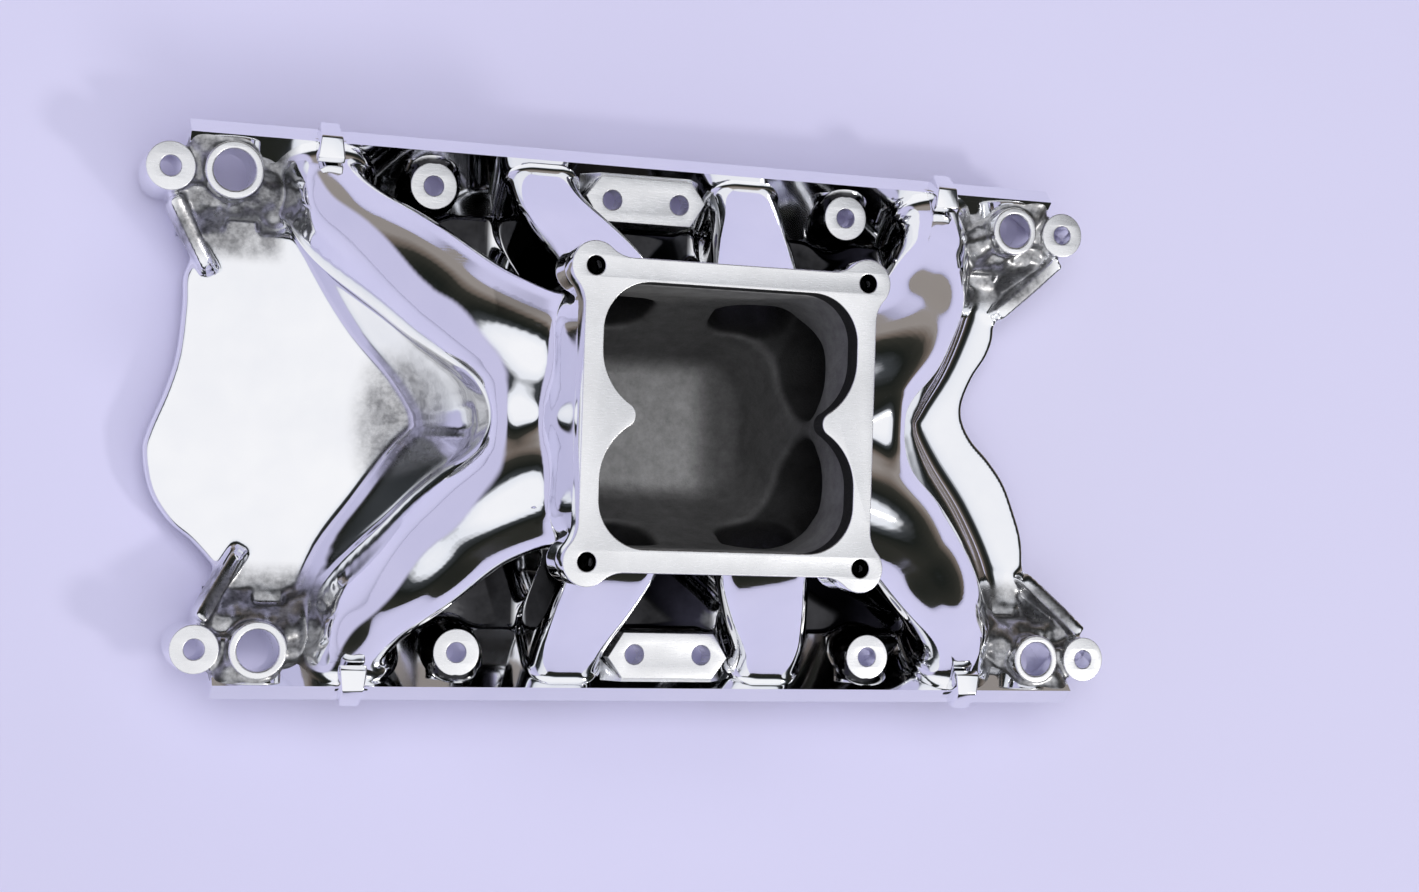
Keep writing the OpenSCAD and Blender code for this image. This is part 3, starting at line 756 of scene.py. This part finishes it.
def mix(tree, factor, a, b, kind="FLOAT", blend="MIX"):
    """a and b mixed by a factor; each of the three is a socket or a plain value."""
    m = node(tree, "ShaderNodeMix", data_type=kind, blend_type=blend)
    first, result = {"FLOAT": (2, 0), "RGBA": (6, 2)}[kind]
    for value, place in ((factor, 0), (a, first), (b, first + 1)):
        if isinstance(value, bpy.types.NodeSocket):
            tree.links.new(value, m.inputs[place])
        else:
            m.inputs[place].default_value = value
    return m.outputs[result]


def scaled_sum(tree, value, factor, rest):
    """value times factor, plus rest."""
    m = node(tree, "ShaderNodeMath", operation="MULTIPLY_ADD")
    tree.links.new(value, m.inputs[0])
    m.inputs[1].default_value = factor
    tree.links.new(rest, m.inputs[2])
    return m.outputs[0]


def polished_metal():
    """The mirror finish, with the places that the polish missed, painted shade in the corner of the front
    V, and painted shade in the pockets between the runners.
    """
    m, tree, shader = material("polished_aluminium", (0.9, 0.91, 0.93), 1.0, 0.05)
    dull_and_shade = node(tree, "ShaderNodeAttribute", attribute_name="dull_and_shade").outputs["Fac"]
    grain = noise(tree, 420, 5)
    haze = noise(tree, 28, 3)
    patch = noise(tree, 90, 6, rough=0.65)
    uneven = node(tree, "ShaderNodeMath", operation="MULTIPLY")
    tree.links.new(dull_and_shade, uneven.inputs[0])
    tree.links.new(ramp(tree, patch, [(0.3, 0.45), (0.6, 1.0)]), uneven.inputs[1])
    dull_and_shade = uneven.outputs[0]
    shine = ramp(tree, haze, [(0.35, 0.035), (0.7, 0.085)])
    tree.links.new(mix(tree, dull_and_shade, shine, (0.42, 0.42, 0.42, 1), "RGBA"), shader.inputs["Roughness"])
    clean = ramp(tree, haze, [(0.3, (0.87, 0.88, 0.91)), (0.7, (0.93, 0.935, 0.95))])
    # the gussets' unpolished grey, which also serves as painted shade in the corner of the front V
    unpolished_and_shade = ramp(tree, grain, [(0.35, (0.07, 0.07, 0.074)), (0.7, (0.32, 0.32, 0.33))])
    pocket_shade = node(tree, "ShaderNodeAttribute", attribute_name="pocket_shade").outputs["Fac"]
    shade_streaks = noise(tree, 26, 5, (1.0, 1.0, 0.12), 0.6)
    # painted shade: near-black colour with faint vertical streaks, standing for the shade and dark
    # reflections in the pockets and stud holes
    dark = ramp(tree, shade_streaks, [(0.35, (0.012, 0.012, 0.013)), (0.62, (0.05, 0.05, 0.054)),
                             (0.78, (0.22, 0.22, 0.23))])
    bright = mix(tree, dull_and_shade, clean, unpolished_and_shade, "RGBA")
    tree.links.new(mix(tree, pocket_shade, bright, dark, "RGBA"), shader.inputs["Base Color"])
    bump(tree, shader, mix(tree, dull_and_shade, haze, grain), 0.12, 0.0006)
    return m


def machined_metal():
    """Faces cut flat: fine tool lines and faint stains."""
    m, tree, shader = material("machined_aluminium", (0.86, 0.865, 0.88), 1.0, 0.28)
    lines = noise(tree, 260, 4, (1.0, 9.0, 1.0), 0.7)
    scratch = noise(tree, 900, 2, (1.0, 0.06, 1.0), 0.6)
    stain = noise(tree, 34, 4)
    tree.links.new(ramp(tree, lines, [(0.3, 0.22), (0.7, 0.4)]), shader.inputs["Roughness"])
    tree.links.new(ramp(tree, stain, [(0.3, (0.78, 0.785, 0.80)), (0.65, (0.89, 0.895, 0.91))]),
                   shader.inputs["Base Color"])
    first = bump(tree, shader, lines, 0.16, 0.0003)
    bump(tree, shader, scratch, 0.12, 0.0002, first)
    return m


def rough_cast():
    """The inside, as cast: grainy, with painted shade darker down the runners and painted light paler on
    the plenum floor.
    """
    m, tree, shader = material("cast_aluminium", (0.3, 0.3, 0.31), 0.35, 0.62)
    grain = noise(tree, 900, 6, rough=0.7)
    soot = noise(tree, 140, 6, rough=0.7)
    lit = node(tree, "ShaderNodeAttribute", attribute_name="lit").outputs["Fac"]
    # painted light and shade: the colour follows the lit attribute, near black down the runners and pale on
    # the plenum floor
    pale = ramp(tree, lit, [(0.0, (0.03, 0.03, 0.031)), (0.3, (0.15, 0.15, 0.152)),
                            (0.6, (0.3, 0.3, 0.302)), (1.0, (0.62, 0.62, 0.625))])
    speck = ramp(tree, soot, [(0.3, (0.62, 0.62, 0.62)), (0.7, (1.0, 1.0, 1.0))])
    tree.links.new(mix(tree, 1.0, pale, speck, "RGBA", "MULTIPLY"), shader.inputs["Base Color"])
    tree.links.new(ramp(tree, grain, [(0.3, 0.5), (0.7, 0.75)]), shader.inputs["Roughness"])
    bump(tree, shader, grain, 0.5, 0.0008)
    return m


POLISHED, MACHINED, ROUGH = polished_metal(), machined_metal(), rough_cast()


# ---------------------------------------------------------------- machined pieces
def place(obj, slot, *nodes):
    bpy.context.scene.collection.objects.link(obj)
    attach(obj, "root")
    if nodes:
        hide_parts(*nodes)
    return obj


def arc_points(cx, cy, r, start, turn, count):
    return [(cx + r * math.cos(math.radians(start + turn * k / count)),
             cy + r * math.sin(math.radians(start + turn * k / count))) for k in range(count + 1)]


def circle_points(cx, cy, r, count=72):
    return arc_points(cx, cy, r, 0, 360, count)[:-1]


def plate_piece(name, outlines, low, high, edge):
    """A plate with rounded edges, from an outer outline and its holes, in millimetres."""
    curve = bpy.data.curves.new(name + "_outline", "CURVE")
    curve.dimensions = "2D"
    curve.fill_mode = "BOTH"
    curve.extrude = (high - low) / 2000 - edge / 1000
    curve.bevel_depth = edge / 1000
    curve.bevel_resolution = 3
    curve.offset = -edge / 1000
    for points in outlines:
        s = curve.splines.new("POLY")
        s.points.add(len(points) - 1)
        for target, (x, y) in zip(s.points, points):
            target.co = (x / 1000, y / 1000, 0, 1)
        s.use_cyclic_u = True
    holder = bpy.data.objects.new(name + "_holder", curve)
    bpy.context.scene.collection.objects.link(holder)
    bpy.context.view_layer.update()
    mesh = bpy.data.meshes.new_from_object(holder.evaluated_get(bpy.context.evaluated_depsgraph_get()))
    bpy.data.objects.remove(holder)
    bpy.data.curves.remove(curve)
    mesh.transform(Matrix.Translation((0, 0, (low + high) / 2000)))
    b = bmesh.new()
    b.from_mesh(mesh)
    bmesh.ops.remove_doubles(b, verts=b.verts, dist=2e-6)
    bmesh.ops.recalc_face_normals(b, faces=b.faces)
    b.to_mesh(mesh)
    b.free()
    mesh.name = name
    return mesh


def smooth_by_angle(mesh, degrees):
    mesh.polygons.foreach_set("use_smooth", np.ones(len(mesh.polygons), bool))
    mesh.set_sharp_from_angle(angle=math.radians(degrees))


def carb_outline():
    """Square with an ear round each stud, from the middle of its +X side anticlockwise."""
    half, ear, fillet = 73.0, 11.6, 16.0
    reach = ear + fillet
    fy = half + fillet
    fx = STUD - math.sqrt(reach ** 2 - (fy - STUD) ** 2)
    touch = math.degrees(math.atan2(fy - STUD, fx - STUD))
    back = math.degrees(math.atan2(STUD - fy, STUD - fx))
    corner = (arc_points(fy, fx, fillet, 180, -(back + 90), 10)
              + arc_points(STUD, STUD, ear, 90 - touch, 2 * touch - 90, 40)[1:-1]
              + arc_points(fx, fy, fillet, back, -(90 + back), 10))
    points = []
    for turn in range(4):
        c, s = math.cos(math.radians(90 * turn)), math.sin(math.radians(90 * turn))
        points += [(CARB_X + c * x - s * y, s * x + c * y) for x, y in corner]
    return points


def opening_outline():
    """Square-bore opening with a cusp in the middle of each end."""
    half_x, half_y, r = 63.5, 62.0, 23.0
    cusp_x, cusp_r, flank = 46.7, 6.0, 30.0
    centre = cusp_x + cusp_r
    flank_x = half_x - flank
    flank_y = math.sqrt((cusp_r + flank) ** 2 - (flank_x - centre) ** 2)
    lean = math.degrees(math.atan2(flank_y, centre - flank_x))
    quarter = (arc_points(centre, 0, cusp_r, 180, -lean, 8)
               + arc_points(flank_x, flank_y, flank, -lean, lean, 14)[1:]
               + arc_points(half_x - r, half_y - r, r, 0, 90, 20))
    left = [(-x, y) for x, y in quarter[::-1]]
    top = quarter + left
    return [(CARB_X + x, y) for x, y in top] + [(CARB_X + x, -y) for x, y in top[-2:0:-1]]


def build_carb_flange():
    """The machined carburettor pad, rough inside its opening."""
    holes = [circle_points(CARB_X + sx * STUD, sy * STUD, STUD_HOLE_D / 2)
             for sx in (-1, 1) for sy in (-1, 1)]
    mesh = plate_piece("carb_flange_face", [carb_outline(), opening_outline()] + holes,
                       CARB_LOW, CARB_Z, 0.5)
    smooth_by_angle(mesh, 35)
    mesh.materials.append(MACHINED)
    obj = place(bpy.data.objects.new("carb_flange_face", mesh), "machined_aluminium", "carb_flange")
    mesh.materials.append(POLISHED)
    mesh.materials.append(ROUGH)
    for face in mesh.polygons:
        if face.center.z < (CARB_Z - 0.7) / 1000:
            x, y = face.center.x * 1000 - CARB_X, face.center.y * 1000
            inside = max(abs(x) / 66, abs(y) / 64) < 1
            face.material_index = 2 if inside else 1
    return obj


def boss_mesh(name, cx, cy, side, outer, bore, top, edge, past_flange):
    """A ring-shaped boss whose foot follows the sloping flange."""
    mesh = plate_piece(name, [circle_points(cx, cy, outer / 2), circle_points(cx, cy, bore / 2)],
                       0, top, edge)
    for v in mesh.vertices:
        if v.co.z < top / 2000:
            by = v.co.y * 1000 * side
            edge_y = FACE_Y + 0.12 if past_flange else INNER_Y + 1.0
            v.co.z = min((by - edge_y) / 1000, top / 1000 - 0.002)
    smooth_by_angle(mesh, 35)
    mesh.materials.append(MACHINED)
    mesh.materials.append(POLISHED)
    for face in mesh.polygons:
        if face.center.z < (top - 0.9) / 1000:
            face.material_index = 1
    return mesh


def build_bolt_faces():
    """Machined faces of the bosses and the middle pads."""
    for side in (1, -1):
        for end in (FRONT, REAR):
            number = (1 if side > 0 else 3) + (0 if end < 0 else 1)
            for kind, x, outer, bore, top, edge, past in (
                    ("end_boss", END_X, END_D, BOLT_D, BOSS_TOP, 0.5, True),
                    ("coolant_boss", COOLANT_X, COOLANT[end][0], COOLANT[end][1], COOLANT_TOP, 1.0, False),
                    ("mid_boss", MID_X, MID_D, BOLT_D, BOSS_TOP, 0.4, False)):
                name = f"{kind}_face_{number}"
                cx, cy = end * x - side * HALF_OFFSET, side * BOLT_Y
                mesh = boss_mesh(name, cx, cy, side, outer, bore, top, edge, past)
                place(bpy.data.objects.new(name, mesh), "machined_aluminium", f"{kind}_{number}")
        bank_name = "left" if side > 0 else "right"
        ox = -side * HALF_OFFSET
        outline = [(x + ox, y * side) for x, y in (PAD_RING if side < 0 else PAD_RING[::-1])]
        holes = [circle_points(ox + s * PAD_X, side * BOLT_Y, BOLT_D / 2) for s in (-1, 1)]
        mesh = plate_piece("centre_pad_face_" + bank_name, [outline] + holes, 30, BOSS_TOP, 0.5)
        for v in mesh.vertices:
            if v.co.z < 0.037:
                by = v.co.y * 1000 * side
                v.co.z = min((by - INNER_Y - 1) / 1000, 0.041)
        smooth_by_angle(mesh, 35)
        mesh.materials.append(MACHINED)
        place(bpy.data.objects.new("centre_pad_face_" + bank_name, mesh), "machined_aluminium",
              "centre_pad_" + bank_name)


def build_lugs():
    """The four small bevelled lugs on the port flanges."""
    for side in (1, -1):
        for end in (FRONT, REAR):
            number = (1 if side > 0 else 3) + (0 if end < 0 else 1)
            b = bmesh.new()
            rings = []
            for sign in (-1, 1):
                ring = []
                for y, z in LUG_SIDE:
                    half_width = 7.2 - 0.12 * (y - 125)
                    x = end * LUG_X + sign * half_width - side * HALF_OFFSET
                    ring.append(b.verts.new((x / 1000, y * side / 1000, z / 1000)))
                rings.append(ring)
            b.faces.new(rings[0])
            b.faces.new(rings[1][::-1])
            for i in range(len(LUG_SIDE)):
                j = (i + 1) % len(LUG_SIDE)
                b.faces.new((rings[0][i], rings[1][i], rings[1][j], rings[0][j]))
            bmesh.ops.recalc_face_normals(b, faces=b.faces)
            bmesh.ops.bevel(b, geom=list(b.edges), offset=0.0009, segments=3, profile=0.5,
                            affect="EDGES", clamp_overlap=True)
            mesh = bpy.data.meshes.new(f"lug_{number}")
            b.to_mesh(mesh)
            b.free()
            smooth_by_angle(mesh, 50)
            mesh.materials.append(POLISHED)
            place(bpy.data.objects.new(f"lug_{number}", mesh), "polished_aluminium", f"flange_lug_{number}")


# ---------------------------------------------------------------- put it together
cast = cast_mesh()
finish_cast(cast)
cast.materials.append(POLISHED)
cast.materials.append(ROUGH)
casting = bpy.data.objects.new("casting", cast)
stood_for = ["plenum_wall", "plenum_floor", "valley_plate", "front_saddle", "rear_saddle"]
stood_for += [f"runner_{n}" for n in range(1, 9)]
for group in ("stud_post", "skirt", "corner_strut", "corner_gusset", "boss_web"):
    stood_for += [f"{group}_{n}" for n in range(1, 5)]
place(casting, "polished_aluminium", *stood_for)
build_carb_flange()
build_bolt_faces()
build_lugs()
for bank_name in ("left", "right"):
    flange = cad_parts["port_flange_" + bank_name]
    for slot in flange.material_slots:
        slot.material = POLISHED
    rounded = flange.modifiers.new("edges", "BEVEL")
    rounded.width = 0.0008
    rounded.segments = 3
    rounded.limit_method = "ANGLE"
    rounded.angle_limit = math.radians(40)

# ---------------------------------------------------------------- floor, light and camera
floor_mesh = bpy.data.meshes.new("floor")
FLOOR_HALF, FLOOR_Z = 6.0, -0.0006
corners = [(x * FLOOR_HALF, y * FLOOR_HALF, FLOOR_Z) for x, y in ((-1, -1), (1, -1), (1, 1), (-1, 1))]
floor_mesh.from_pydata(corners, [], [(0, 1, 2, 3)])
floor = bpy.data.objects.new("floor", floor_mesh)
bpy.context.scene.collection.objects.link(floor)
cloth, cloth_tree, cloth_shader = material("pale_floor", (0.66, 0.645, 0.86), 0.0, 0.9)
folds = noise(cloth_tree, 3.0, 3)
bump(cloth_tree, cloth_shader, folds, 0.15, 0.02)
floor_mesh.materials.append(cloth)


def build_world():
    """Bright overhead, dark halfway down, brown at the horizon, and a pale sheet low on the -X side."""
    world = bpy.data.worlds.new("studio")
    bpy.context.scene.world = world
    world.use_nodes = True
    sky = world.node_tree
    direction = sky.nodes.new("ShaderNodeTexCoord").outputs["Generated"]
    parts_of = sky.nodes.new("ShaderNodeSeparateXYZ")
    sky.links.new(direction, parts_of.inputs[0])
    streak_map = sky.nodes.new("ShaderNodeMapping")
    streak_map.inputs["Scale"].default_value = (1, 1, 3.5)
    sky.links.new(direction, streak_map.inputs["Vector"])
    streaks = node(sky, "ShaderNodeTexNoise", Scale=2.2, Detail=4.0, Roughness=0.6)
    sky.links.new(streak_map.outputs["Vector"], streaks.inputs["Vector"])
    leaning = scaled_sum(sky, parts_of.outputs["Y"], -0.34, parts_of.outputs["Z"])
    streaked = scaled_sum(sky, streaks.outputs["Fac"], 0.16, leaning)
    shade = ramp(sky, streaked, [(0.0, (0.30, 0.27, 0.25)), (0.18, (0.16, 0.13, 0.11)),
                                 (0.32, (0.035, 0.034, 0.028)), (0.62, (0.012, 0.014, 0.012)),
                                 (0.76, (0.05, 0.055, 0.06)), (0.84, (0.85, 0.87, 0.92)),
                                 (1.0, (0.98, 0.98, 1.0))])
    facing = node(sky, "ShaderNodeMapRange", interpolation_type="SMOOTHSTEP")
    sky.links.new(scaled_sum(sky, parts_of.outputs["Z"], 0.35, parts_of.outputs["X"]),
                  facing.inputs["Value"])
    facing.inputs["From Min"].default_value = -0.38
    facing.inputs["From Max"].default_value = -0.52
    sheet = (0.60, 0.58, 0.80, 1)
    background = sky.nodes["Background"]
    sky.links.new(mix(sky, facing.outputs[0], shade, sheet, "RGBA"), background.inputs["Color"])
    background.inputs["Strength"].default_value = 1.0


def soft_light(name, place_at, size, power, colour, shows):
    data = bpy.data.lights.new(name, "AREA")
    data.shape = "DISK"
    data.size = size
    data.energy = power
    data.color = colour
    lamp = bpy.data.objects.new(name, data)
    lamp.location = place_at
    lamp.rotation_mode = "QUATERNION"
    lamp.rotation_quaternion = Vector(place_at).to_track_quat("Z", "Y")
    lamp.visible_glossy = shows
    bpy.context.scene.collection.objects.link(lamp)


build_world()
soft_light("over", (-0.5, 0.8, 2.6), 2.0, 28, (1.0, 0.99, 1.0), False)
soft_light("side", (1.6, -1.0, 1.8), 0.35, 14, (1.0, 0.97, 0.92), True)

camera_data = bpy.data.cameras.new("camera")
camera_data.sensor_width = 36
camera_data.lens = 60.971
camera_data.clip_start, camera_data.clip_end = 0.01, 50
camera = bpy.data.objects.new("camera", camera_data)
camera.matrix_world = Matrix(((0.93910, -0.04019, -0.34129, -0.40476568),
                              (0.03096, 0.99899, -0.03244, -0.04921908),
                              (0.34225, 0.01990, 0.93940, 1.23946984),
                              (0, 0, 0, 1)))
bpy.context.scene.collection.objects.link(camera)
bpy.context.scene.camera = camera
bpy.context.scene.view_settings.view_transform = "Standard"
